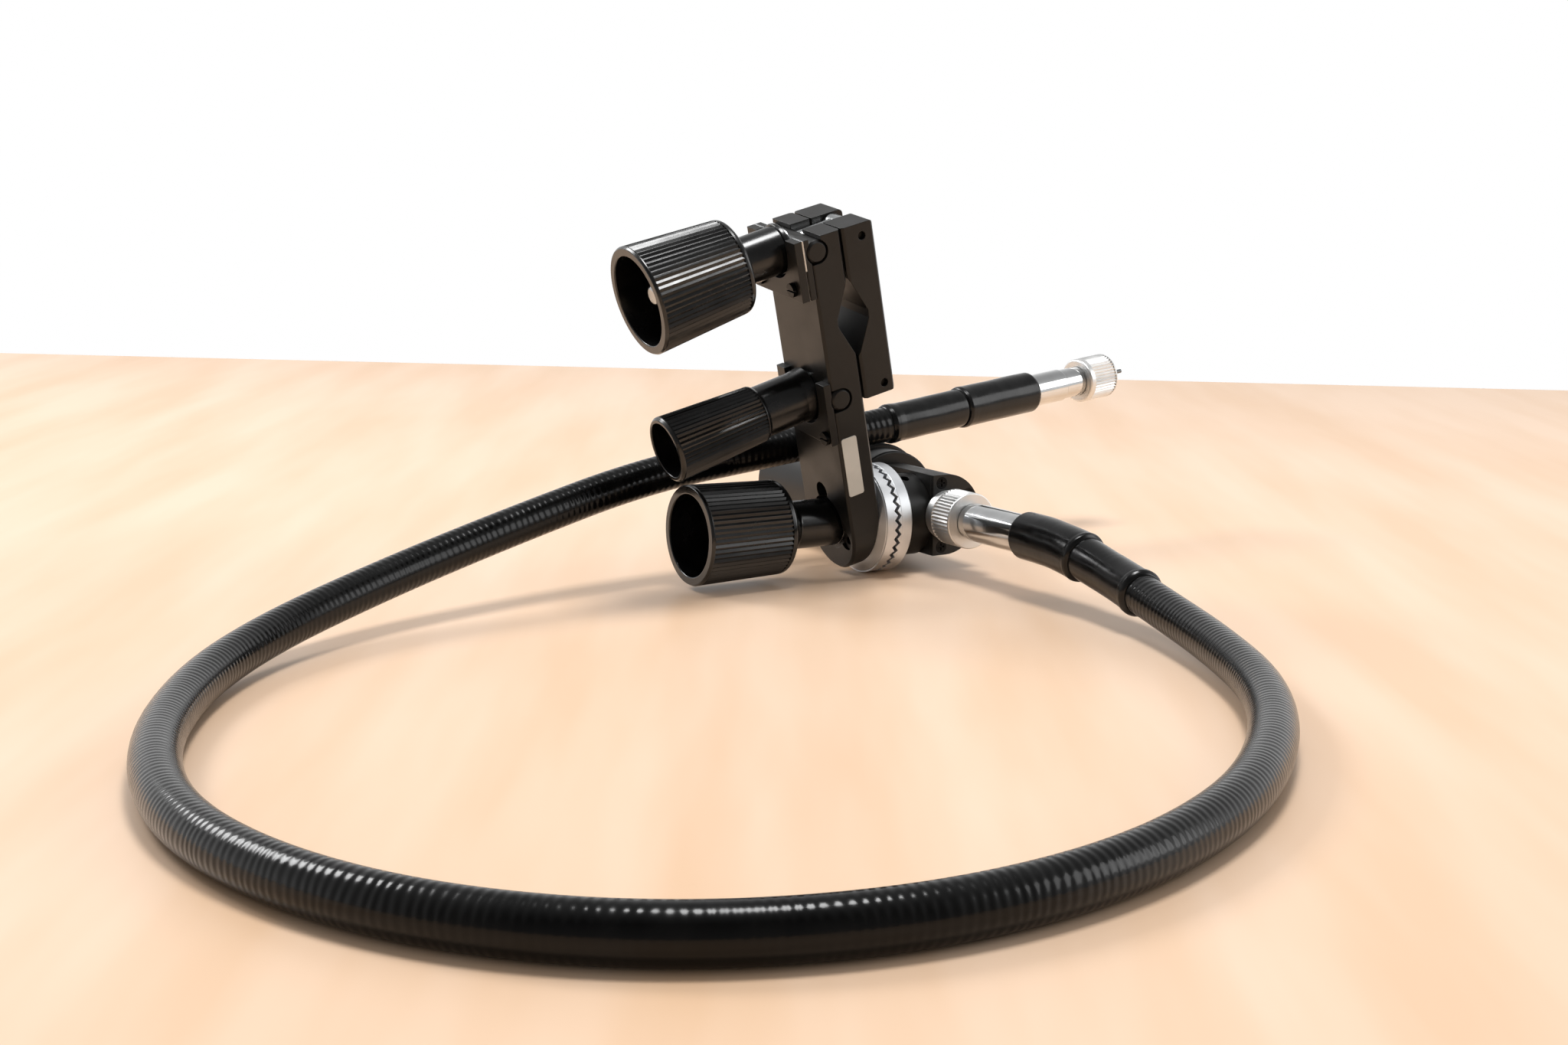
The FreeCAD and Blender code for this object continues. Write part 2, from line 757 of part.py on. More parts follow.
def make_guards():
    outer_x = -guard_thickness - guard_outer_thickness
    low = upper_barrel_z - upper_guard_drop
    half = bar_width / 2
    leaf_x = -guard_thickness + leaf_thickness
    for name, x0, x1 in (("upper_guard_inner", leaf_x, 0),
                         ("upper_guard_outer", outer_x, -guard_thickness)):
        plate = guard_plate(x0, x1, low, bar_top, upper_guard_notch, upper_barrel_place, upper_guard_screw)
        save(name, placed(plate, bar_frame))
    leaf = guard_plate(-guard_thickness, leaf_x, low, bar_top, upper_guard_notch, upper_barrel_place,
                       upper_guard_screw)
    # Only the leaf's upper ears come out flush with the plates' edges
    for side in (-1, 1):
        edge = side * half
        inset = side * (half - leaf_setback)
        leaf = leaf.cut(block(-guard_thickness, leaf_x, min(edge, inset), max(edge, inset), low,
                              upper_barrel_z - leaf_drop))
    save("upper_guard_leaf", placed(leaf, bar_frame))
    middle = guard_plate(-guard_thickness, 0, middle_barrel_z - middle_guard_drop,
                         middle_barrel_z + middle_guard_rise, middle_guard_notch, middle_barrel_place,
                         middle_guard_screw)
    tab = block(-guard_thickness, 0, half, half + guard_tab_width, middle_barrel_z - guard_tab_drop,
                middle_barrel_z + guard_tab_rise)
    tab = tab.cut(barrel_groove(middle_barrel_place, barrel_relief))
    save("middle_guard_plate", placed(middle.fuse(tab), bar_frame))
    screws = []
    for across, height in guard_screw_places():
        face = outer_x if height == upper_guard_screw[1] else -guard_thickness
        screw = rod(guard_screw_radius, guard_screw_depth - face, Vector(face, across, height), x_axis)
        head = rod(guard_screw_head_radius, guard_screw_head_height, Vector(face, across, height),
                   x_axis * -1)
        slot = block(face - guard_screw_head_height, face - guard_screw_head_height / 2,
                     across - guard_screw_head_radius, across + guard_screw_head_radius,
                     height - guard_screw_slot_half, height + guard_screw_slot_half)
        screws.append(screw.fuse(head).cut(slot))
    save("guard_screws", placed(Part.makeCompound(screws), bar_frame))
    label = block(label_x, label_x + label_width, -half - label_thickness, -half,
                  label_bottom, label_bottom + label_height)
    corners = [edge for edge in label.Edges if edge.BoundBox.YLength > label_thickness / 2]
    label = label.makeFillet(label_corner_radius, corners)
    save("number_label", placed(label, bar_frame))


def make_jaw():
    half = bar_width / 2
    near_x = bar_thickness + jaw_gap
    far_x = near_x + jaw_thickness
    jaw = block(near_x, far_x, -half, half, jaw_bottom, bar_top)
    jaw = jaw.cut(notch(near_x, jaw_notch_depth, 1))
    jaw = bevelled(jaw, near_x, far_x)
    corners = [edge for edge in jaw.Edges if edge.BoundBox.XMin > far_x - touching
               and edge.BoundBox.YLength > bar_width / 2]
    jaw = jaw.makeFillet(jaw_corner_radius, corners)
    slot = jaw_slot_width / 2
    jaw = jaw.cut(block(near_x - cut_spill, far_x + cut_spill, -slot, slot, bar_top - jaw_slot_depth,
                        bar_top + cut_spill))
    lower_slot_top = lower_eye.z + eye_radius + jaw_slot_extra
    jaw = jaw.cut(block(near_x - cut_spill, far_x + cut_spill, -slot, slot, jaw_bottom - cut_spill,
                        lower_slot_top))
    for name, eye in (("upper_hinge_pin", upper_eye), ("lower_hinge_pin", lower_eye)):
        hole = rod(hinge_pin_radius, bar_width, eye - y_axis * half, y_axis)
        jaw = jaw.cut(hole)
        length = bar_width - 2 * hinge_pin_recess
        pin = rod(hinge_pin_radius, length, eye - y_axis * (half - hinge_pin_recess), y_axis)
        save(name, placed(pin, bar_frame))
    save("clamp_jaw", placed(jaw, bar_frame))


def make_swing_bolts():
    for name, home, length in (("upper", upper_frame, upper_bolt_length),
                               ("middle", middle_frame, middle_bolt_length)):
        barrel = rod(barrel_radius, bar_width, Vector(0, -bar_width / 2, 0), y_axis)
        barrel = barrel.makeChamfer(barrel_end_chamfer, [edge for edge in barrel.Edges if edge.isClosed()])
        barrel = barrel.cut(block(-barrel_radius, barrel_radius, -barrel_flat_half, barrel_flat_half,
                                  barrel_flat, 2 * barrel_radius))
        barrel = barrel.cut(tube(0, swing_bolt_radius + running_fit, -2 * barrel_radius, 2 * barrel_radius))
        save(name + "_barrel", placed(barrel, home))
        washer = tube(swing_bolt_radius + running_fit, washer_radius, barrel_flat,
                      barrel_flat + washer_thickness)
        save(name + "_thrust_washer", placed(washer, home))
        tang = jaw_slot_width / 2 - slot_gap
        eye = rod(eye_radius, 2 * tang, Vector(0, -tang, -eye_distance), y_axis)
        # The eye's seam is turned away from the shank
        eye.rotate(Vector(0, 0, -eye_distance), y_axis, 180)
        shank = turned([(0, -eye_distance, 0), (swing_bolt_radius, -eye_distance, 0),
                        (swing_bolt_radius, length, bolt_end_round), (0, length, 0)])
        bolt = eye.fuse(shank)
        pin_hole = hinge_pin_radius + (running_fit if name == "upper" else 2 * running_fit)
        bolt = bolt.cut(rod(pin_hole, bar_width, Vector(0, -bar_width / 2, -eye_distance), y_axis))
        save(name + "_swing_bolt", placed(bolt, home))


def make_clamp_knobs():
    ring_low = knob_start + neck_ring_start
    ring_high = ring_low + neck_ring_width
    ring_radius = upper_neck_radius + neck_ring_height
    upper = turned([
        (knob_hole_radius, knob_start, 0), (upper_neck_radius, knob_start, 0),
        (upper_neck_radius, ring_low, 0), (ring_radius, ring_low, neck_ring_round),
        (ring_radius, ring_high, neck_ring_round), (upper_neck_radius, ring_high, 0),
        (upper_neck_radius, upper_shoulder_start, upper_neck_round),
        (upper_knob_foot_radius, upper_shoulder_end, upper_shoulder_round),
        (upper_knob_radius, upper_knob_length - knob_rim, 0),
        (upper_knob_radius - knob_rim_taper, upper_knob_length, rim_round),
        (upper_knob_bore_radius, upper_knob_length, edge_round),
        (upper_knob_bore_radius, upper_knob_floor, floor_round),
        (insert_radius, upper_knob_floor, 0), (insert_radius, insert_start, 0),
        (knob_hole_radius, insert_start, 0)])
    foot = (upper_knob_foot_radius, upper_shoulder_end)
    top = (upper_knob_radius, upper_knob_length - knob_rim)
    low = foot[1] + flute_start
    high = top[1] - flute_margin
    upper = fluted(upper, low, high, along(foot, top, low), along(foot, top, high), flute_depth, upper_flutes)
    save("upper_clamp_knob", placed(upper, upper_frame))
    insert = tube(swing_bolt_radius + running_fit, insert_radius, insert_start, upper_knob_floor)
    save("upper_knob_insert", placed(insert, upper_frame))

    foot = (middle_knob_foot_radius, middle_neck_end + middle_step)
    top = (middle_knob_radius, middle_knob_length - middle_rim)
    middle = turned([
        (knob_hole_radius, knob_start, 0),
        (middle_neck_radius + middle_foot_flare, knob_start, middle_small_round),
        (middle_neck_radius, knob_start + middle_foot_length, shoulder_round),
        (middle_neck_radius, middle_neck_end - middle_step_lead, 0),
        (foot[0], foot[1], middle_small_round), (top[0], top[1], middle_step),
        (middle_knob_radius - middle_rim_taper, middle_knob_length, edge_round),
        (middle_knob_bore_radius, middle_knob_length, middle_small_round),
        (middle_knob_bore_radius, middle_knob_floor, middle_floor_round),
        (knob_hole_radius, middle_knob_floor, 0), (knob_hole_radius, upper_knob_floor, 0),
        (insert_radius, upper_knob_floor, 0), (insert_radius, insert_start, 0),
        (knob_hole_radius, insert_start, 0)])
    low = foot[1] + flute_margin
    high = top[1] - flute_margin
    middle = fluted(middle, low, high, along(foot, top, low), along(foot, top, high), flute_depth,
                    middle_flutes)
    save("middle_clamp_knob", placed(middle, middle_frame))
    insert = tube(swing_bolt_radius + running_fit, insert_radius, insert_start, upper_knob_floor)
    save("middle_knob_insert", placed(insert, middle_frame))


def make_lock_knob():
    start = -lock_seat_x + lock_washer_thickness + face_gap
    hole = tilt_bolt_radius + lock_bolt_gap
    insert_end = lock_knob_floor - lock_floor_wall
    knob = turned([
        (hole, start, 0), (lock_neck_radius, start, edge_round),
        (lock_neck_radius, lock_shoulder_start, neck_round),
        (lock_neck_radius + lock_shoulder_rise, lock_shoulder_start + lock_shoulder_step, lock_step_round),
        (lock_knob_foot_radius, lock_shoulder_end, lock_shoulder_round),
        (lock_knob_radius, lock_knob_length - knob_rim, 0),
        (lock_knob_radius - knob_rim_taper, lock_knob_length, rim_round),
        (lock_knob_bore_radius, lock_knob_length, edge_round),
        (lock_knob_bore_radius, lock_knob_floor, floor_round),
        (0, lock_knob_floor, 0), (0, insert_end, 0), (insert_radius, insert_end, 0),
        (insert_radius, lock_insert_start, 0), (hole, lock_insert_start, 0)])
    foot = (lock_knob_foot_radius, lock_shoulder_end)
    top = (lock_knob_radius, lock_knob_length - knob_rim)
    low = foot[1] + flute_start
    high = top[1] - flute_margin
    knob = fluted(knob, low, high, along(foot, top, low), along(foot, top, high), flute_depth, lock_flutes)
    save("tilt_lock_knob", placed(knob, against_tilt))
    insert = tube(tilt_bolt_radius + running_fit, insert_radius, lock_insert_start, insert_end)
    save("lock_knob_insert", placed(insert, against_tilt))


def housing_section(inset):
    """Side outline of the housing: flat against the hub, round about the drive axis."""
    radius = housing_radius - inset
    hub_side = hub_end_x + inset
    low = Vector(drive_x, 0, drive_z - radius)
    high = Vector(drive_x, 0, drive_z + radius)
    nose = Vector(drive_x + radius, 0, drive_z)
    edges = [Part.Arc(low, nose, high).toShape(),
             Part.LineSegment(high, Vector(hub_side, 0, high.z)).toShape(),
             Part.LineSegment(Vector(hub_side, 0, high.z), Vector(hub_side, 0, low.z)).toShape(),
             Part.LineSegment(Vector(hub_side, 0, low.z), low).toShape()]
    return Part.Face(Part.Wire(edges))


def housing_slice(y0, y1, inset, bore_radius):
    section = housing_section(inset)
    section.translate(Vector(0, y0, 0))
    body = section.extrude(Vector(0, y1 - y0, 0))
    return body.cut(rod(bore_radius, y1 - y0, Vector(drive_x, y0, drive_z), y_axis))


def cover_screw_places():
    for angle in cover_screw_angles:
        turn = math.radians(angle)
        yield Vector(drive_x + cover_screw_circle * math.cos(turn), 0,
                     drive_z + cover_screw_circle * math.sin(turn))


def make_housing():
    body = housing_slice(housing_near_y, housing_far_y, 0, housing_bore_radius)
    screws = []
    for name, face_y, side, bore_radius in (("front_cover", near_face_y, 1, port_nose_radius),
                                            ("rear_cover", housing_far_y + cover_thickness, -1,
                                             cover_bore_radius)):
        inward = y_axis * side
        low = min(face_y, face_y + side * cover_thickness)
        cover = housing_slice(low, low + cover_thickness, 0, bore_radius)
        for place in cover_screw_places():
            mouth = place + y_axis * face_y
            cover = cover.cut(rod(cover_screw_head_radius, cover_screw_head_height, mouth, inward))
            cover = cover.cut(rod(cover_screw_radius, cover_thickness, mouth, inward))
            body = body.cut(rod(cover_screw_radius, cover_screw_depth, mouth, inward))
            screw = rod(cover_screw_radius, cover_screw_depth, mouth, inward)
            screw = screw.fuse(rod(cover_screw_head_radius, cover_screw_head_height, mouth, inward))
            for reach_x, reach_z in ((cross_half_length, cross_half_width),
                                     (cross_half_width, cross_half_length)):
                screw = screw.cut(block(place.x - reach_x, place.x + reach_x, face_y - cross_depth,
                                        face_y + cross_depth, place.z - reach_z, place.z + reach_z))
            screws.append(screw)
        save(name, cover)
    save("drive_housing", body)
    save("cover_screws", Part.makeCompound(screws))


along_drive = frame(Vector(drive_x, 0, drive_z), x_axis, Vector(0, 0, -1), y_axis)
toward_cord = frame(Vector(drive_x, near_face_y, drive_z), x_axis, z_axis, Vector(0, -1, 0))


def make_drive():
    bush_inner = shaft_radius + running_fit
    front = tube(bush_inner, housing_bore_radius, housing_near_y, housing_near_y + bush_length)
    rear = tube(bush_inner, housing_bore_radius, housing_far_y - bush_length, housing_far_y)
    save("front_bearing", placed(front, along_drive))
    save("rear_bearing", placed(rear, along_drive))
    collar_start = housing_far_y + cover_thickness + grip_ring_gap
    ring_start = rosette_radius + grip_rosette_gap
    knurl_start = ring_start + grip_front_length
    ring_end = knurl_start + grip_ring_length
    drum_end = ring_end + grip_drum_length
    shaft_end = drum_end - grip_cap_thickness
    shaft = tube(0, shaft_radius, housing_near_y, shaft_end)
    shaft = shaft.cut(tube(0, socket_radius, housing_near_y, housing_near_y + socket_depth))
    shaft = shaft.cut(tube(0, grip_screw_radius, shaft_end - grip_screw_length, shaft_end))
    save("drive_shaft", placed(shaft, along_drive))
    clip_end = housing_far_y - bush_length - face_gap
    clip = tube(shaft_radius, circlip_radius, clip_end - circlip_thickness, clip_end)
    save("shaft_circlip", placed(clip, along_drive))

    ring = turned([(shaft_radius, collar_start, 0), (grip_collar_radius, collar_start, edge_round),
                   (grip_collar_radius, ring_start, 0), (grip_front_radius, ring_start, grip_ring_lead),
                   (grip_front_radius, knurl_start, 0), (grip_ring_radius - grip_ring_lead, knurl_start, 0),
                   (grip_ring_radius, knurl_start + grip_ring_lead, 0),
                   (grip_ring_radius, ring_end - grip_ring_edge, 0),
                   (grip_ring_radius - grip_ring_edge, ring_end, 0), (shaft_radius, ring_end, 0)])
    ring = fluted(ring, knurl_start + grip_ring_lead, ring_end - grip_ring_edge,
                  grip_ring_radius, grip_ring_radius,
                  grip_ring_flute_depth, grip_ring_flutes)
    save("grip_ring", placed(ring, along_drive))
    inner = grip_drum_radius - grip_wall
    drum = turned([(shaft_radius, ring_end, 0), (grip_drum_radius, ring_end, 0),
                   (grip_drum_radius, drum_end, grip_drum_round), (inner, drum_end, 0),
                   (inner, ring_end + grip_wall, grip_inner_round),
                   (grip_hub_radius, ring_end + grip_wall, grip_inner_round),
                   (grip_hub_radius, shaft_end, 0), (shaft_radius, shaft_end, 0)])
    save("grip_drum", placed(drum, along_drive))
    cap = tube(grip_screw_radius, inner, shaft_end, drum_end)
    save("grip_end_cap", placed(cap, along_drive))
    screw = tube(0, grip_screw_radius, shaft_end - grip_screw_length, drum_end)
    head = tube(0, grip_screw_head_radius, drum_end, drum_end + grip_screw_head_height)
    screw = screw.fuse(head).cut(tube(0, grip_screw_hex_radius, drum_end + grip_screw_hex_floor,
                                      drum_end + grip_screw_head_height))
    save("grip_screw", placed(screw, along_drive))


def make_near_coupling():
    nose = turned([(port_bore_radius, -cover_thickness, 0), (port_nose_radius, -cover_thickness, 0),
                   (port_nose_radius, 0, 0), (port_flange_radius, 0, 0),
                   (port_flange_radius, port_flange_length, 0.4), (port_nose_radius, port_flange_length, 0),
                   (port_nose_radius, port_nose_end, 0), (port_bore_radius, port_nose_end, 0)])
    save("port_nose", placed(nose, toward_cord))
    flange_start = port_nose_end + face_gap
    flange_end = flange_start + ferrule_flange_length
    nut = turned([(port_nose_radius + running_fit, near_nut_start, 0),
                  (near_nut_radius, near_nut_start, 0.5), (near_nut_radius, near_nut_end, nut_front_round),
                  (ferrule_neck_radius + running_fit, near_nut_end, 0),
                  (ferrule_neck_radius + running_fit, flange_end + face_gap, 0),
                  (port_nose_radius + running_fit, flange_end + face_gap, 0)])
    nut = fluted(nut, near_nut_start + nut_flute_margin, near_nut_end - nut_flute_margin, near_nut_radius,
                 near_nut_radius, nut_flute_depth, near_nut_flutes)
    save("near_coupling_nut", placed(nut, toward_cord))
    tip_hole = drive_tip_radius + running_fit
    ferrule = turned([(tip_hole, flange_start, 0), (ferrule_flange_radius, flange_start, 0),
                      (ferrule_flange_radius, flange_end, 0), (ferrule_neck_radius, flange_end, 0),
                      (ferrule_neck_radius, near_nut_end + ferrule_collar_gap, 0),
                      (ferrule_collar_radius, near_nut_end + ferrule_collar_gap, 0),
                      (ferrule_collar_radius, near_ferrule_start, 0),
                      (near_ferrule_radius, near_ferrule_start, 0.5),
                      (near_ferrule_radius, near_ferrule_end, 0), (0, near_ferrule_end, 0),
                      (0, drive_tip_tail + 1.0, 0), (tip_hole, drive_tip_tail + 1.0, 0)])
    save("near_ferrule", placed(ferrule, toward_cord))
    tip_start = -cover_thickness - socket_depth + drive_tip_reach
    save("near_drive_tip", placed(tube(0, drive_tip_radius, tip_start, drive_tip_tail), toward_cord))


def cord_edges():
    """Straight runs and tangent arcs through the route, with the bend radii."""
    points = [Vector(*place) for place in cord_route]
    edges = []
    radii = []
    start = points[0]
    for before, at, after in zip(points, points[1:], points[2:]):
        turn = (at - before).getAngle(after - at)
        shorter = min(at.distanceToPoint(before), at.distanceToPoint(after))
        radius = arc_share * shorter / math.tan(turn / 2)
        radii.append(radius)
        arc_start, middle, arc_end = corner(before, at, after, radius)
        edges.append(Part.LineSegment(start, arc_start).toShape())
        edges.append(Part.Arc(arc_start, middle, arc_end).toShape())
        start = arc_end
    edges.append(Part.LineSegment(start, points[-1]).toShape())
    return edges, radii


def stretch(edges, begin, end):
    """The part of the route between two lengths along it."""
    kept = []
    passed = 0.0
    for edge in edges:
        low = max(begin - passed, 0.0)
        high = min(end - passed, edge.Length)
        if high - low > touching:
            first = edge.getParameterByLength(low)
            last = edge.getParameterByLength(high)
            kept.append(edge.Curve.toShape(first, last))
        passed += edge.Length
    return kept


def swept(edges, radius):
    """Round bar along a stretch of the route."""
    start = edges[0].valueAt(edges[0].FirstParameter)
    direction = edges[0].tangentAt(edges[0].FirstParameter)
    circle = Part.Wire(Part.makeCircle(radius, start, direction))
    return Part.Wire(edges).makePipeShell([circle], True, False)


def make_cord():
    edges, radii = cord_edges()
    total = sum(edge.Length for edge in edges)
    sheath = swept(edges, sheath_radius)
    save("cable_sheath", sheath)
    sleeves = (
        ("near_sleeve_large", 0.0, near_sleeve_large_length, near_sleeve_large_radius),
        ("near_sleeve_small", near_sleeve_large_length, near_sleeve_large_length + near_sleeve_small_length,
         near_sleeve_small_radius),
        ("far_sleeve_small", total - far_sleeve_large_length - far_sleeve_small_length,
         total - far_sleeve_large_length, far_sleeve_small_radius),
        ("far_sleeve_large", total - far_sleeve_large_length, total, far_sleeve_large_radius),
    )
    for name, begin, end, radius in sleeves:
        span = stretch(edges, begin, end)
        save(name, swept(span, radius).cut(swept(span, sheath_radius)))
    print("sheath length", round(total, 1), "volume share",
          round(sheath.Volume / (math.pi * sheath_radius ** 2 * total), 5))
    print("bend radii", [round(radius, 1) for radius in radii])


def make_far_coupling():
    far_end = Vector(*cord_route[-1])
    direction = (far_end - Vector(*cord_route[-2])).normalize()
    side = direction.cross(z_axis).normalize()
    home = frame(far_end, side, direction.cross(side), direction)
    collar_end = far_ferrule_length + far_collar_length
    nut_start = collar_end + far_nut_gap
    nut_end = nut_start + far_nut_length
    flange_start = nut_start + far_nut_wall + face_gap
    flange_end = flange_start + ferrule_flange_length
    tip_start = far_ferrule_length - far_tip_tail
    tip_hole = far_tip_body_radius + running_fit
    ferrule = turned([(0, 0, 0), (far_ferrule_radius, 0, 0), (far_ferrule_radius, far_ferrule_length, 0.4),
                      (far_collar_radius, far_ferrule_length, 0), (far_collar_radius, collar_end, 0),
                      (far_neck_radius, collar_end, 0), (far_neck_radius, flange_start, 0),
                      (ferrule_flange_radius, flange_start, 0), (ferrule_flange_radius, flange_end, 0),
                      (tip_hole, flange_end, 0), (tip_hole, tip_start - 1.0, 0), (0, tip_start - 1.0, 0)])
    save("far_ferrule", placed(ferrule, home))
    nut = turned([(far_neck_radius + running_fit, nut_start, 0), (far_nut_radius, nut_start, 0.8),
                  (far_nut_radius, nut_end, 0.6), (far_nut_bore_radius, nut_end, 0),
                  (far_nut_bore_radius, nut_start + far_nut_wall, 0),
                  (far_neck_radius + running_fit, nut_start + far_nut_wall, 0)])
    nut = fluted(nut, nut_start + far_nut_smooth_length, nut_end - nut_flute_margin, far_nut_radius,
                 far_nut_radius, nut_flute_depth, far_nut_flutes)
    save("far_coupling_nut", placed(nut, home))
    tip_end = nut_end + far_tip_reach
    body = tube(0, far_tip_body_radius, tip_start, tip_end - far_tip_nose_length)
    tip = body.fuse(tube(0, far_tip_radius, tip_end - far_tip_nose_length, tip_end))
    save("far_drive_tip", placed(tip, home))
    show("far nut end", home.multVec(Vector(0, 0, nut_end)))
    show("far tip end", home.multVec(Vector(0, 0, nut_end + far_tip_reach)))
    show("far direction", home.Rotation.multVec(z_axis), False)


def show(label, point, shifted=True):
    """Print a place or direction in the part's final frame, in metres where it is a place."""
    if shifted:
        point = (point - Vector(box_centre_x, box_centre_y, 0)) * 0.001
    print("POINT", label, [round(value, 6) for value in point])


make_rosettes()
make_spring()
make_hub()
make_tilt_bolt()
make_clamp_bar()
make_rosette_screws()
make_guards()
make_jaw()
make_swing_bolts()
make_clamp_knobs()
make_lock_knob()
make_housing()
make_drive()
make_near_coupling()
make_cord()
make_far_coupling()

show("tilt centre", tilt_centre)
show("drive axis", Vector(drive_x, near_face_y, drive_z))
show("upper barrel", upper_frame.Base)
show("middle barrel", middle_frame.Base)
show("upper eye", bar_frame.multVec(upper_eye))
show("lower eye", bar_frame.multVec(lower_eye))
show("bar across", bar_y, False)
show("bar through", bar_x, False)
show("bar up", bar_z, False)
show("bolt outward", upper_frame.Rotation.multVec(z_axis), False)
show("notch middle", bar_frame.multVec(Vector(bar_thickness + jaw_gap / 2, 0, notch_height)))
for node, shape in sorted(built.items()):
    box = shape.BoundBox
    print("%-22s solids %2d valid %s vol %9.1f  x %7.1f %7.1f  y %7.1f %7.1f  z %6.2f %6.2f"
          % (node, len(shape.Solids), shape.isValid(), shape.Volume,
             box.XMin, box.XMax, box.YMin, box.YMax, box.ZMin, box.ZMax))
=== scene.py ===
import math

import bpy
import numpy as np
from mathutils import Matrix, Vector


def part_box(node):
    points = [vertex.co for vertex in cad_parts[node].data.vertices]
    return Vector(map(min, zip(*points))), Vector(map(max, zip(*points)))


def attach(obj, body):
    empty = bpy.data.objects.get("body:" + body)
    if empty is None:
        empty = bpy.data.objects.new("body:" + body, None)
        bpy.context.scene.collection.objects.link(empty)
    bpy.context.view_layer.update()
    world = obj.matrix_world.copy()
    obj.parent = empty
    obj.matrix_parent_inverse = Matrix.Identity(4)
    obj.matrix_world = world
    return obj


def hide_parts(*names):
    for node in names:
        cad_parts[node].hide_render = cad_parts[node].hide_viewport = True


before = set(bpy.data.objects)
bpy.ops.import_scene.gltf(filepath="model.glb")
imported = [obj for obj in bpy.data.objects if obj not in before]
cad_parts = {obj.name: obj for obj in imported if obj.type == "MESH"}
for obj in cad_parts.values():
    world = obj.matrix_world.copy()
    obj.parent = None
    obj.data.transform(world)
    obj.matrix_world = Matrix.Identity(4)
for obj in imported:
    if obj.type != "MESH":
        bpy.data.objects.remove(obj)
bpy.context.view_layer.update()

# Real sizes are in millimetres, and are turned to metres where they are used
mm = 0.001

# Middle of the module's box, measured from the middle of the rosettes
box_centre_mm = (-21.595, 24.5)

# Sheath: its radius, and the turns of the wound casing that print through it
sheath_radius_mm = 5.5
sheath_ring_pitch_mm = 2.1
ring_wander = 1.5

# Faint swelling of the sleeves: its height, the lengths of cord in which its long and its short
# wave each turn one radian, and how many long waves go round the sleeve
swell_mm = 0.06
long_swell_mm = 9.0
short_swell_mm = 4.3
swells_round = 2.0

# Fineness of the rebuilt surfaces
round_steps = 40
sheath_step_mm = 1.4
sleeve_rings = 90
direction_reach_mm = 0.6
curve_steps = 32
curve_order = 3

# Camera of the photograph, and the middle of the rosettes measured across and away from it
camera_height_mm = 130.5
camera_pitch_deg = 9.99
camera_turn_deg = 30.43
tilt_axis_from_camera_mm = (22.66, 654.60)
lens_mm = 50.0
frame_width_mm = 36.0
near_clip_mm = 10.0

# White room: the glow of its walls and its ceiling, and the light it gives off evenly
wall_glow = 1.0
ceiling_glow = 0.4
room_light = 0.5

# How far up a direction points where the walls begin to fade, and where the ceiling is reached
wall_top = 0.15
ceiling_edge = 0.8

# Darker side behind the photographer: its share of the glow, and how far back a direction points there
dark_side_share = 0.22
dark_side_edge = 0.6

# Soft boxes: place across, away and up from the camera's foot, side, and power in watts
lamp_aim_mm = (20.0, 640.0, 40.0)
lamps = [
    ("window_box", (-900.0, 1100.0, 900.0), 450.0, 9.0),
    ("ceiling_box", (100.0, 560.0, 1300.0), 380.0, 11.3),
    ("right_box", (1100.0, 500.0, 500.0), 600.0, 3.0),
]

# Two places on the back edge of the table, across and away from the camera, and how many times
# the distance between them the whole edge is long
table_left_mm = (-484.0, 1345.0)
table_right_mm = (412.0, 1142.0)
table_spread = 3.52
table_depth_mm = 3200.0
streak_stretch = 8.0

# Noise values between which the colour and the roughness of a surface drift
colour_drift = (0.35, 0.65)
roughness_drift = (0.3, 0.7)
patch_detail = 3.0
fine_detail = 2.0

# Strength of the grain and of the lathe's rings, and the roundness of their edges
grain_strength = 0.3
ring_strength = 0.5
turned_edge_mm = 0.15
turned_patch_mm = 9.0
edge_samples = 8

# Skin of the cord: how wide the rings wander, and how far apart the sleeves' folds are
wander_patch_mm = 14.0
fold_pitch_mm = 3.2

# The cord's route, from the near ferrule round the loop to the far ferrule
cord_route_mm = [
    (23.5, -53.9, 17.5),
    (23.5, -70.0, 17.5),
    (23.0, -95.0, 12.6),
    (18.3, -121.0, 8.9),
    (8.5, -152.0, 7.0),
    (-9.5, -190.0, 6.3),
    (-37.0, -223.5, 5.7),
    (-75.0, -254.0, 5.6),
    (-120.0, -272.5, 5.6),
    (-166.0, -273.5, 5.6),
    (-208.0, -256.0, 5.6),
    (-239.0, -219.0, 5.6),
    (-252.5, -168.0, 5.6),
    (-245.6, -115.0, 5.6),
    (-223.0, -63.0, 5.6),
    (-194.0, -27.5, 7.7),
    (-155.0, -5.0, 13.7),
    (-112.0, 8.0, 22.4),
    (-63.0, 18.0, 32.4),
    (-20.0, 18.6, 36.9),
    (20.0, 19.0, 41.4),
    (52.0, 21.4, 45.0),
    (82.0, 24.8, 48.0),
]

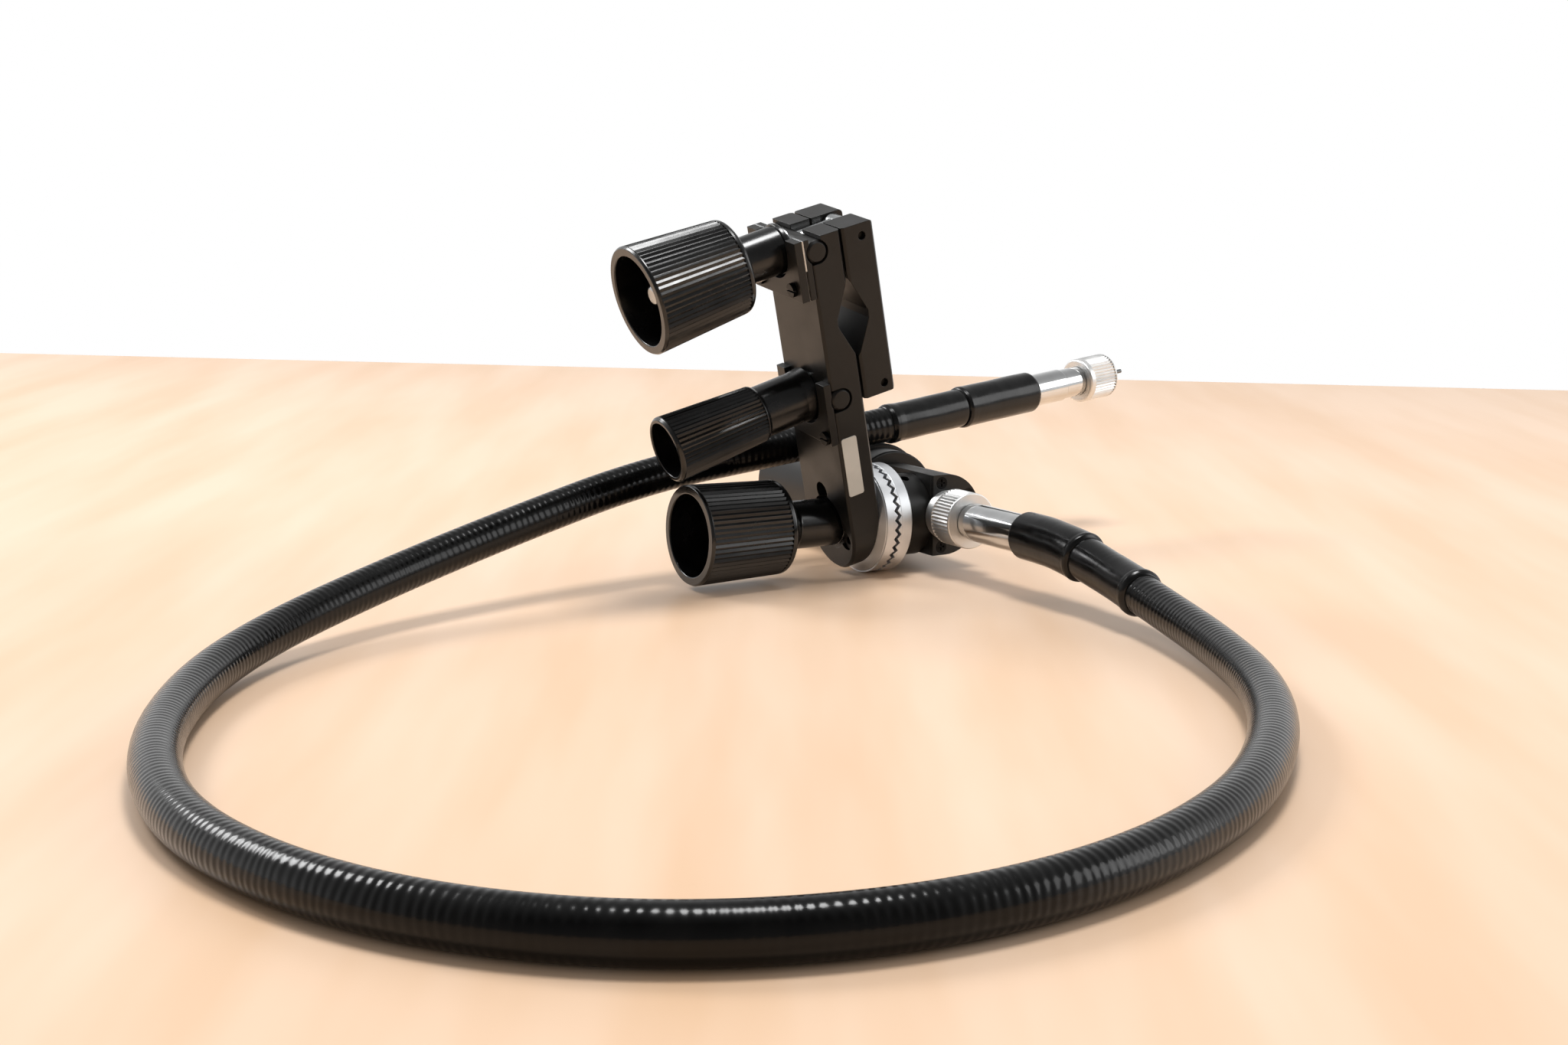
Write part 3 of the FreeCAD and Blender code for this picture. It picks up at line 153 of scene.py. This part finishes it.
# Sleeve outlines as (length from the ferrule, radius)
near_large_mm = [(0.0, 5.9), (0.05, 6.7), (0.7, 7.0), (9.0, 7.05), (16.0, 6.95), (23.0, 7.1), (25.6, 7.15),
                 (26.6, 7.3), (27.3, 7.1), (27.8, 6.5), (28.0, 5.9)]
near_small_mm = [(27.9, 5.9), (28.0, 6.2), (28.8, 6.25), (38.0, 6.15), (50.0, 6.2), (53.5, 6.25),
                 (54.3, 6.6), (55.6, 6.65), (56.3, 6.3), (56.8, 5.9), (57.0, 5.55)]
far_large_mm = [(0.0, 5.4), (0.05, 6.3), (0.7, 6.6), (9.0, 6.65), (18.0, 6.55), (27.0, 6.6), (29.6, 6.75),
                (30.5, 6.5), (31.0, 5.8)]
far_small_mm = [(30.9, 5.8), (31.0, 6.1), (32.0, 6.15), (45.0, 6.05), (56.0, 6.1), (58.2, 6.3), (59.6, 6.3),
                (60.4, 5.95), (61.0, 5.55)]


def turned_to_part(across, away, height=0.0):
    """A place measured across and away from the camera, in metres in the part's frame."""
    turn = math.radians(camera_turn_deg)
    dx = across - tilt_axis_from_camera_mm[0]
    dy = away - tilt_axis_from_camera_mm[1]
    x = dx * math.cos(turn) + dy * math.sin(turn) - box_centre_mm[0]
    y = dy * math.cos(turn) - dx * math.sin(turn) - box_centre_mm[1]
    return (x * mm, y * mm, height * mm)


def route_metres():
    """The cord's route in the part's frame."""
    points = np.array(cord_route_mm) - np.array([box_centre_mm[0], box_centre_mm[1], 0.0])
    return points * mm


# Camera and cord line

def make_camera():
    camera = bpy.data.objects.new("camera", bpy.data.cameras.new("camera"))
    bpy.context.collection.objects.link(camera)
    camera.data.sensor_fit = "HORIZONTAL"
    camera.data.sensor_width = frame_width_mm
    camera.data.lens = lens_mm
    camera.data.clip_start = near_clip_mm * mm
    camera.location = turned_to_part(0.0, 0.0, camera_height_mm)
    camera.rotation_euler = (math.radians(90.0 - camera_pitch_deg), 0.0, math.radians(-camera_turn_deg))
    bpy.context.scene.camera = camera


def cord_line():
    """Points along the smooth curve whose control points are the route."""
    curve = bpy.data.curves.new("cord_line", "CURVE")
    curve.dimensions = "3D"
    curve.resolution_u = curve_steps
    spline = curve.splines.new("NURBS")
    route = route_metres()
    spline.points.add(len(route) - 1)
    spline.points.foreach_set("co", np.c_[route, np.ones(len(route))].ravel())
    spline.order_u = curve_order
    spline.use_endpoint_u = True
    holder = bpy.data.objects.new("cord_line", curve)
    bpy.context.collection.objects.link(holder)
    mesh = bpy.data.meshes.new_from_object(holder)
    line = np.empty(len(mesh.vertices) * 3)
    mesh.vertices.foreach_get("co", line)
    bpy.data.objects.remove(holder)
    return line.reshape(-1, 3)


def lengths(line):
    """Distance along a line of points, from its first point."""
    steps = np.linalg.norm(np.diff(line, axis=0), axis=1)
    return np.r_[0.0, np.cumsum(steps)]


def at_lengths(line, wanted):
    """Places and unit directions at the wanted lengths along a line."""
    passed = lengths(line)
    reach = direction_reach_mm * mm

    def places_at(marks):
        return np.stack([np.interp(marks, passed, line[:, k]) for k in range(3)], axis=1)

    directions = places_at(wanted + reach) - places_at(wanted - reach)
    return places_at(wanted), directions / np.linalg.norm(directions, axis=1, keepdims=True)


def carried_round(name, line, stations, radii, wave=None):
    """Tube: at each station a ring of that radius about the line, square to it; caps close both ends.

    A point is place + radius (cos a side + sin a up), with side level and square to the line.
    wave adds a small change of radius as a function of (length, angle).
    """
    places, directions = at_lengths(line, stations)
    side = np.cross(directions, np.array([0.0, 0.0, 1.0]))
    side /= np.linalg.norm(side, axis=1, keepdims=True)
    up = np.cross(side, directions)
    angle = np.linspace(0.0, 2.0 * math.pi, round_steps, endpoint=False)
    reach = radii[:, None] + (0.0 if wave is None else wave(stations[:, None], angle[None, :]))
    ring = np.cos(angle)[None, :, None] * side[:, None, :] + np.sin(angle)[None, :, None] * up[:, None, :]
    points = places[:, None, :] + reach[:, :, None] * ring

    rows = len(stations)
    row, step = np.meshgrid(np.arange(rows - 1), np.arange(round_steps), indexing="ij")
    here = row * round_steps
    ahead = (row + 1) * round_steps
    following = (step + 1) % round_steps
    quads = np.stack([ahead + step, ahead + following, here + following, here + step], axis=-1)
    first_cap = list(range(round_steps))
    last_cap = list(range((rows - 1) * round_steps, rows * round_steps))[::-1]
    faces = quads.reshape(-1, 4).tolist() + [first_cap, last_cap]

    mesh = bpy.data.meshes.new(name)
    mesh.from_pydata(points.reshape(-1, 3).tolist(), [], faces)
    mesh.polygons.foreach_set("use_smooth", [True] * len(mesh.polygons))
    along = mesh.attributes.new("along", "FLOAT", "POINT")
    along.data.foreach_set("value", np.repeat(stations, round_steps))
    mesh.validate()
    mesh.update()
    piece = bpy.data.objects.new(name, mesh)
    bpy.context.collection.objects.link(piece)
    return piece


# Materials

def linear(hex_colour):
    """sRGB hex colour as linear RGBA."""
    channels = [int(hex_colour[i:i + 2], 16) / 255.0 for i in (1, 3, 5)]
    return tuple(c / 12.92 if c <= 0.04045 else ((c + 0.055) / 1.055) ** 2.4 for c in channels) + (1.0,)


def add(tree, kind, inputs=None, **settings):
    """Add a node, set its properties, and fill its inputs with values or links."""
    node = tree.nodes.new(kind)
    for name, value in settings.items():
        setattr(node, name, value)
    for name, value in (inputs or {}).items():
        if isinstance(value, bpy.types.NodeSocket):
            tree.links.new(value, node.inputs[name])
        else:
            node.inputs[name].default_value = value
    return node


def started(name):
    material = bpy.data.materials.new(name)
    material.use_nodes = True
    tree = material.node_tree
    tree.nodes.clear()
    return material, tree


def finished(material, tree, inputs):
    shader = add(tree, "ShaderNodeBsdfPrincipled", inputs)
    add(tree, "ShaderNodeOutputMaterial", {"Surface": shader.outputs["BSDF"]})
    return material


def drifting(tree, place, low, high, patch_mm, roughness, spread=0.05):
    """Colour and roughness that drift a little from patch to patch, as inputs of a shader."""
    patch = add(tree, "ShaderNodeTexNoise", {"Vector": place, "Scale": 1.0 / (patch_mm * mm),
                                             "Detail": patch_detail})
    ramp = add(tree, "ShaderNodeValToRGB", {"Fac": patch.outputs["Fac"]})
    for element, position, colour in zip(ramp.color_ramp.elements, colour_drift, (low, high)):
        element.position = position
        element.color = linear(colour)
    rough = add(tree, "ShaderNodeMapRange", {
        "Value": patch.outputs["Fac"], "From Min": roughness_drift[0], "From Max": roughness_drift[1],
        "To Min": roughness - spread, "To Max": roughness + spread})
    return {"Base Color": ramp.outputs["Color"], "Roughness": rough.outputs["Result"]}


def relief(tree, height, depth_mm, strength, edge_mm=0.0):
    """Fine relief, where asked over edges that are rounded a little, so that they catch the light."""
    bump = add(tree, "ShaderNodeBump", {"Height": height, "Distance": depth_mm * mm, "Strength": strength})
    if edge_mm:
        edge = add(tree, "ShaderNodeBevel", {"Radius": edge_mm * mm}, samples=edge_samples)
        tree.links.new(edge.outputs["Normal"], bump.inputs["Normal"])
    return bump.outputs["Normal"]


def grained(name, low, high, metallic, roughness, patch_mm, grain_mm, depth_mm, edge_mm=0.0, specular=None):
    """Surface with drifting patches and an even fine grain."""
    material, tree = started(name)
    place = add(tree, "ShaderNodeTexCoord").outputs["Object"]
    inputs = drifting(tree, place, low, high, patch_mm, roughness)
    grain = add(tree, "ShaderNodeTexNoise", {"Vector": place, "Scale": 1.0 / (grain_mm * mm),
                                             "Detail": fine_detail})
    inputs["Normal"] = relief(tree, grain.outputs["Fac"], depth_mm, grain_strength, edge_mm)
    inputs["Metallic"] = metallic
    if specular is not None:
        inputs["Specular IOR Level"] = specular
    return finished(material, tree, inputs)


def black_anodised_aluminium():
    """Bead-blasted, then anodised: a fine even grain, nearly black, with a soft satin sheen."""
    return grained("black_anodised_aluminium", "#0c0b0a", "#141311", metallic=0.0, roughness=0.38,
                   patch_mm=9.0, grain_mm=0.35, depth_mm=0.02, edge_mm=0.25, specular=0.35)


def glossy_moulded_plastic():
    """Injection-moulded phenolic: deep black and shiny, with a faint waviness of the skin."""
    return grained("glossy_moulded_plastic", "#050505", "#0b0b0b", metallic=0.0, roughness=0.24,
                   patch_mm=7.0, grain_mm=6.0, depth_mm=0.02, specular=0.6)


def printed_film():
    """Blank silvered label film with a faint orange peel."""
    return grained("printed_film", "#b9b7b0", "#c4c2bb", metallic=0.0, roughness=0.34,
                   patch_mm=12.0, grain_mm=0.8, depth_mm=0.006, edge_mm=0.1)


def blackened_steel():
    """Oil-blackened screws and pins: a thin dark skin over ground steel."""
    return grained("blackened_steel", "#181818", "#252525", metallic=1.0, roughness=0.36,
                   patch_mm=3.0, grain_mm=0.3, depth_mm=0.008, edge_mm=0.12)


def bright_steel():
    """Ground bare steel, slightly hazed by handling."""
    return grained("bright_steel", "#adafb0", "#c0c2c3", metallic=1.0, roughness=0.24,
                   patch_mm=3.0, grain_mm=0.3, depth_mm=0.006, edge_mm=0.12)


def satin_aluminium():
    """Clear anodised nuts: light, even and softly shining."""
    return grained("satin_aluminium", "#dbdbda", "#e5e5e4", metallic=1.0, roughness=0.44,
                   patch_mm=8.0, grain_mm=0.3, depth_mm=0.004)


def drive_tip_steel():
    """Hardened drive tips, darker than the plated parts round them."""
    return grained("drive_tip_steel", "#6d6f71", "#7d7f81", metallic=1.0, roughness=0.4,
                   patch_mm=3.0, grain_mm=0.3, depth_mm=0.004)


def turned_brass():
    """Machined brass bushes and inserts, warm yellow."""
    return grained("turned_brass", "#a88746", "#bb9a58", metallic=1.0, roughness=0.28,
                   patch_mm=3.0, grain_mm=0.3, depth_mm=0.008, edge_mm=0.12)


def turned_metal(name, low, high, roughness, centre, axis, pitch_mm, depth_mm):
    """Lathe-turned metal: rings about its axis stretch the highlights.

    The rings are a noise of one value, the distance from the axis plus the distance along it.
    """
    material, tree = started(name)
    place = add(tree, "ShaderNodeTexCoord").outputs["Object"]
    offset = add(tree, "ShaderNodeVectorMath", {0: place, 1: centre},
                 operation="SUBTRACT").outputs["Vector"]
    across = add(tree, "ShaderNodeVectorMath", {0: offset, 1: axis}, operation="CROSS_PRODUCT")
    radius = add(tree, "ShaderNodeVectorMath", {0: across.outputs["Vector"]}, operation="LENGTH")
    height = add(tree, "ShaderNodeVectorMath", {0: offset, 1: axis}, operation="DOT_PRODUCT")
    total = add(tree, "ShaderNodeMath", {0: radius.outputs["Value"], 1: height.outputs["Value"]},
                operation="ADD").outputs["Value"]
    lines = add(tree, "ShaderNodeTexNoise", {"W": total, "Scale": 1.0 / (pitch_mm * mm),
                                             "Detail": fine_detail}, noise_dimensions="1D").outputs["Fac"]
    inputs = drifting(tree, place, low, high, turned_patch_mm, roughness, spread=0.03)
    inputs["Normal"] = relief(tree, lines, depth_mm, ring_strength, turned_edge_mm)
    inputs["Metallic"] = 1.0
    return finished(material, tree, inputs)


def plating(name, centre, axis):
    """Bright plating over turned metal."""
    return turned_metal(name, "#cfd0d0", "#dcdddd", roughness=0.11, centre=centre, axis=axis,
                        pitch_mm=0.8, depth_mm=0.004)


def ribbed_jacket():
    """Extruded black jacket over a wound casing, whose turns print through as fine rings."""
    material, tree = started("ribbed_jacket")
    place = add(tree, "ShaderNodeTexCoord").outputs["Object"]
    along = add(tree, "ShaderNodeAttribute", attribute_name="along").outputs["Fac"]
    wander = add(tree, "ShaderNodeTexNoise", {"Vector": place, "Scale": 1.0 / (wander_patch_mm * mm),
                                              "Detail": fine_detail})
    shift = add(tree, "ShaderNodeMath", {0: wander.outputs["Fac"],
                                         1: ring_wander * sheath_ring_pitch_mm * mm},
                operation="MULTIPLY").outputs["Value"]
    moved = add(tree, "ShaderNodeMath", {0: along, 1: shift}, operation="ADD").outputs["Value"]
    phase = add(tree, "ShaderNodeMath", {0: moved, 1: 2.0 * math.pi / (sheath_ring_pitch_mm * mm)},
                operation="MULTIPLY").outputs["Value"]
    rings = add(tree, "ShaderNodeMath", {0: phase}, operation="SINE").outputs["Value"]
    inputs = drifting(tree, place, "#040404", "#090909", patch_mm=6.0, roughness=0.2, spread=0.03)
    inputs["Normal"] = relief(tree, rings, depth_mm=0.05, strength=0.6)
    inputs["Specular IOR Level"] = 0.24
    return finished(material, tree, inputs)


def heat_shrink():
    """Shrunk polyolefin tube: black, a little glossy, drawn into faint folds round the cable."""
    material, tree = started("heat_shrink")
    place = add(tree, "ShaderNodeTexCoord").outputs["Object"]
    along = add(tree, "ShaderNodeAttribute", attribute_name="along").outputs["Fac"]
    folds = add(tree, "ShaderNodeTexNoise", {"W": along, "Scale": 1.0 / (fold_pitch_mm * mm),
                                             "Detail": fine_detail}, noise_dimensions="1D").outputs["Fac"]
    inputs = drifting(tree, place, "#050505", "#0b0b0b", patch_mm=4.0, roughness=0.22)
    inputs["Normal"] = relief(tree, folds, depth_mm=0.12, strength=0.35)
    inputs["Specular IOR Level"] = 0.36
    return finished(material, tree, inputs)


def pale_wood_table():
    """Waxed pale birch: a warm even tone with long faint streaks."""
    material, tree = started("pale_table")
    place = add(tree, "ShaderNodeTexCoord").outputs["Object"]
    grain = add(tree, "ShaderNodeMapping", {
        "Vector": place, "Scale": (1.0, streak_stretch, 1.0),
        "Rotation": (0.0, 0.0, math.radians(-camera_turn_deg))}, vector_type="TEXTURE")
    inputs = drifting(tree, grain.outputs["Vector"], "#dfbb99", "#e7c9ae", patch_mm=34.0, roughness=0.42,
                      spread=0.02)
    inputs["Specular IOR Level"] = 0.6
    return finished(material, tree, inputs)


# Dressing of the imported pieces

def paint(material, *nodes):
    for name in nodes:
        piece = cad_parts[name]
        if not piece.material_slots:
            piece.data.materials.append(material)
        for slot in piece.material_slots:
            slot.material = material


def middle_of(node):
    low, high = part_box(node)
    return tuple((a + b) / 2 for a, b in zip(low, high))


def paint_packed_pieces():
    far = np.diff(route_metres()[-2:], axis=0)[0]
    far_axis = tuple(far / np.linalg.norm(far))
    paint(black_anodised_aluminium(), "clamp_bar", "clamp_jaw", "rosette_hub", "drive_housing",
          "front_cover", "rear_cover", "grip_drum", "grip_end_cap", "grip_ring", "upper_guard_inner",
          "upper_guard_outer", "middle_guard_plate", "upper_barrel", "middle_barrel")
    paint(glossy_moulded_plastic(), "tilt_lock_knob", "upper_clamp_knob", "middle_clamp_knob")
    rosette_steel = turned_metal("turned_rosette_steel", "#d9dbde", "#e4e6e8", roughness=0.42,
                                 centre=middle_of("moving_rosette"), axis=(1.0, 0.0, 0.0),
                                 pitch_mm=0.5, depth_mm=0.012)
    paint(rosette_steel, "fixed_rosette", "moving_rosette")
    paint(plating("near_plating", middle_of("port_nose"), (0.0, 1.0, 0.0)), "near_ferrule")
    paint(plating("far_plating", middle_of("far_ferrule"), far_axis), "far_ferrule")
    paint(satin_aluminium(), "near_coupling_nut", "far_coupling_nut", "port_nose")
    paint(bright_steel(), "upper_swing_bolt", "middle_swing_bolt", "tilt_bolt", "drive_shaft",
          "rosette_spring", "shaft_circlip", "lock_washer",
          "upper_thrust_washer", "middle_thrust_washer", "upper_guard_leaf")
    paint(drive_tip_steel(), "near_drive_tip", "far_drive_tip")
    paint(blackened_steel(), "rosette_screws", "hub_set_screw", "cover_screws", "guard_screws",
          "grip_screw", "upper_hinge_pin", "lower_hinge_pin")
    paint(turned_brass(), "tilt_sleeve", "front_bearing", "rear_bearing", "lock_knob_insert",
          "upper_knob_insert", "middle_knob_insert")
    paint(printed_film(), "number_label")


def make_cord():
    line = cord_line()
    total = lengths(line)[-1]
    steps = int(total / (sheath_step_mm * mm))
    stations = np.linspace(0.0, total, steps)
    radii = np.full(steps, sheath_radius_mm * mm)
    sheath = carried_round("cable_jacket", line, stations, radii)
    sheath.data.materials.append(ribbed_jacket())
    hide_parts("cable_sheath")
    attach(sheath, "housing")

    shrink = heat_shrink()
    for name, node, outline, from_far in (("near_shrink_large", "near_sleeve_large", near_large_mm, False),
                                          ("near_shrink_small", "near_sleeve_small", near_small_mm, False),
                                          ("far_shrink_large", "far_sleeve_large", far_large_mm, True),
                                          ("far_shrink_small", "far_sleeve_small", far_small_mm, True)):
        piece = make_sleeve(name, line, total, outline, from_far)
        piece.data.materials.append(shrink)
        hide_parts(node)
        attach(piece, "housing")
    at_lengths(line, stations)[0].tolist()


def make_sleeve(name, line, total, outline, from_far):
    """Shrink sleeve: its outline carried along the cord, with a faint unevenness round it."""
    marks = np.array(outline) * mm
    stations = np.unique(np.r_[np.linspace(marks[0, 0], marks[-1, 0], sleeve_rings), marks[:, 0]])
    radii = np.interp(stations, marks[:, 0], marks[:, 1])
    if from_far:
        stations = (total - stations)[::-1]
        radii = radii[::-1]

    def unevenness(length, angle):
        swell = (np.sin(angle * swells_round + length / (long_swell_mm * mm))
                 * np.sin(length / (short_swell_mm * mm) + angle))
        return swell_mm * mm * swell

    return carried_round(name, line, stations, radii, unevenness)


# Table, light and background

def make_table():
    left = np.array(table_left_mm)
    right = np.array(table_right_mm)
    middle = (left + right) / 2
    reach = (right - left) / 2 * table_spread
    back_left = middle - reach
    back_right = middle + reach
    depth = np.array([0.0, table_depth_mm])
    corners = [turned_to_part(*corner)
               for corner in (back_left, back_left - depth, back_right - depth, back_right)]
    mesh = bpy.data.meshes.new("table_top")
    mesh.from_pydata(corners, [], [(0, 1, 2, 3)])
    table = bpy.data.objects.new("table_top", mesh)
    bpy.context.collection.objects.link(table)
    mesh.materials.append(pale_wood_table())


def make_lamp(name, place_mm, side_mm, watts):
    """Square soft box that faces the aim of the lamps."""
    lamp = bpy.data.lights.new(name, "AREA")
    lamp.shape = "SQUARE"
    lamp.size = side_mm * mm
    lamp.energy = watts
    holder = bpy.data.objects.new(name, lamp)
    bpy.context.collection.objects.link(holder)
    place = np.array(turned_to_part(*place_mm))
    away = place - np.array(turned_to_part(*lamp_aim_mm))
    away /= np.linalg.norm(away)
    yaw = math.atan2(away[0], -away[1])
    pitch = math.acos(away[2])
    holder.location = place
    holder.rotation_euler = (pitch, 0.0, yaw)


def make_room():
    """White room: the camera sees its bright wall, and mirroring pieces see its darker parts too."""
    world = bpy.data.worlds.new("white_room")
    bpy.context.scene.world = world
    world.use_nodes = True
    tree = world.node_tree
    tree.nodes.clear()
    rays = add(tree, "ShaderNodeLightPath")
    view = add(tree, "ShaderNodeTexCoord").outputs["Generated"]
    height = add(tree, "ShaderNodeSeparateXYZ", {"Vector": view}).outputs["Z"]
    glow = add(tree, "ShaderNodeMapRange", {"Value": height, "From Min": wall_top, "From Max": ceiling_edge,
                                            "To Min": wall_glow, "To Max": ceiling_glow})
    # The side behind the photographer is darker, which gives the plated parts their dark bands
    turn = math.radians(camera_turn_deg)
    behind = add(tree, "ShaderNodeVectorMath", {0: view, 1: (-math.sin(turn), -math.cos(turn), 0.0)},
                 operation="DOT_PRODUCT")
    share = add(tree, "ShaderNodeMapRange", {
        "Value": behind.outputs["Value"], "From Min": 0.0, "From Max": dark_side_edge,
        "To Min": 1.0, "To Max": dark_side_share})
    strength = add(tree, "ShaderNodeMath", {0: glow.outputs["Result"], 1: share.outputs["Result"]},
                   operation="MULTIPLY")
    white = (1.0, 1.0, 1.0, 1.0)
    backdrop = add(tree, "ShaderNodeBackground", {"Color": white, "Strength": wall_glow})
    mirror = add(tree, "ShaderNodeBackground", {"Color": white, "Strength": strength.outputs["Value"]})
    room = add(tree, "ShaderNodeBackground", {"Color": white, "Strength": room_light})
    mirrored = add(tree, "ShaderNodeMath", {0: rays.outputs["Is Glossy Ray"],
                                            1: rays.outputs["Is Transmission Ray"]}, operation="MAXIMUM")
    lit = add(tree, "ShaderNodeMixShader", {"Fac": mirrored.outputs["Value"],
                                            1: room.outputs["Background"], 2: mirror.outputs["Background"]})
    seen = add(tree, "ShaderNodeMixShader", {"Fac": rays.outputs["Is Camera Ray"],
                                             1: lit.outputs["Shader"], 2: backdrop.outputs["Background"]})
    add(tree, "ShaderNodeOutputWorld", {"Surface": seen.outputs["Shader"]})


make_camera()
make_cord()
paint_packed_pieces()
make_table()
make_room()
for name, place_mm, side_mm, watts in lamps:
    make_lamp(name, place_mm, side_mm, watts)
bpy.context.scene.view_settings.view_transform = "Standard"
